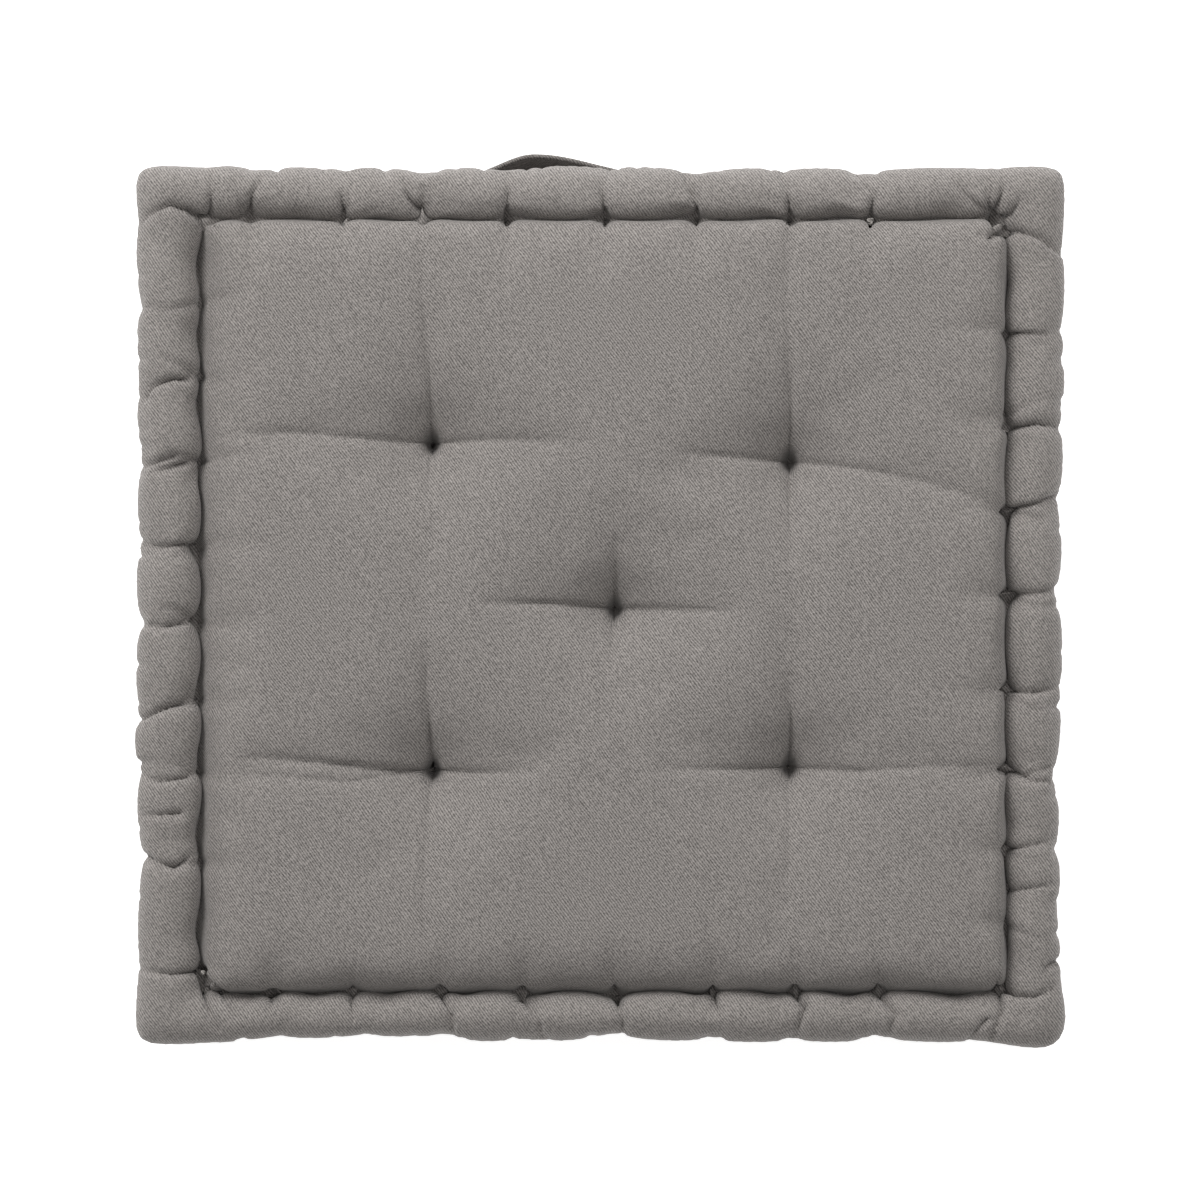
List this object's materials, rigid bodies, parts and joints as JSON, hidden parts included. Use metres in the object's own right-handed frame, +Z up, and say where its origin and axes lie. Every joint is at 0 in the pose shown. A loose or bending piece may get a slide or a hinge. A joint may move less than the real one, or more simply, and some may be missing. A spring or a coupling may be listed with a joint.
{
  "type": "floor cushion",
  "caption": "Square tufted floor cushion with hand-stitched rolled edges and a small cloth handle on one side.",
  "frame": {"origin": "on the floor, under the middle of the cushion and its handle", "axes": "+Z up through the cushion's thickness, +X along its wider side, +Y towards the side with the handle"},
  "size_m": [0.4, 0.3844, 0.084],
  "materials": {
    "top_cloth": "cotton twill",
    "bottom_cloth": "cotton twill",
    "band_cloth": "cotton twill",
    "strap_cloth": "cotton twill",
    "core_wadding": "loose wadding",
    "roll_wadding": "firm wadding",
    "twine": "waxed twine",
    "seam_thread": "spun thread"
  },
  "bodies": {
    "cushion": {"top_panel": "top_cloth", "bottom_panel": "bottom_cloth", "front_band": "band_cloth", "back_band": "band_cloth", "left_band": "band_cloth", "right_band": "band_cloth", "strap_end_left": "strap_cloth", "strap_end_right": "strap_cloth", "core_filling": "core_wadding", "top_roll_filling": "roll_wadding", "bottom_roll_filling": "roll_wadding", "top_twine_front": "twine", "top_twine_back": "twine", "top_twine_left": "twine", "top_twine_right": "twine", "bottom_twine_front": "twine", "bottom_twine_back": "twine", "bottom_twine_left": "twine", "bottom_twine_right": "twine", "tuft_tie_centre": "twine", "tuft_tie_front_left": "twine", "tuft_tie_front_right": "twine", "tuft_tie_back_left": "twine", "tuft_tie_back_right": "twine", "top_seam_thread": "seam_thread", "bottom_seam_thread": "seam_thread", "corner_seam_front_left": "seam_thread", "corner_seam_front_right": "seam_thread", "corner_seam_back_left": "seam_thread", "corner_seam_back_right": "seam_thread", "strap_stitch_left": "seam_thread", "strap_stitch_right": "seam_thread"},
    "handle": {"strap_loop": "strap_cloth"}
  },
  "joints": [
    {"name": "handle_swing", "type": "hinge", "parent": "cushion", "child": "handle", "pos_m": [-0.0195, 0.17835, 0.04], "axis": [1, 0, 0], "range_deg": [0, 40]}
  ]
}
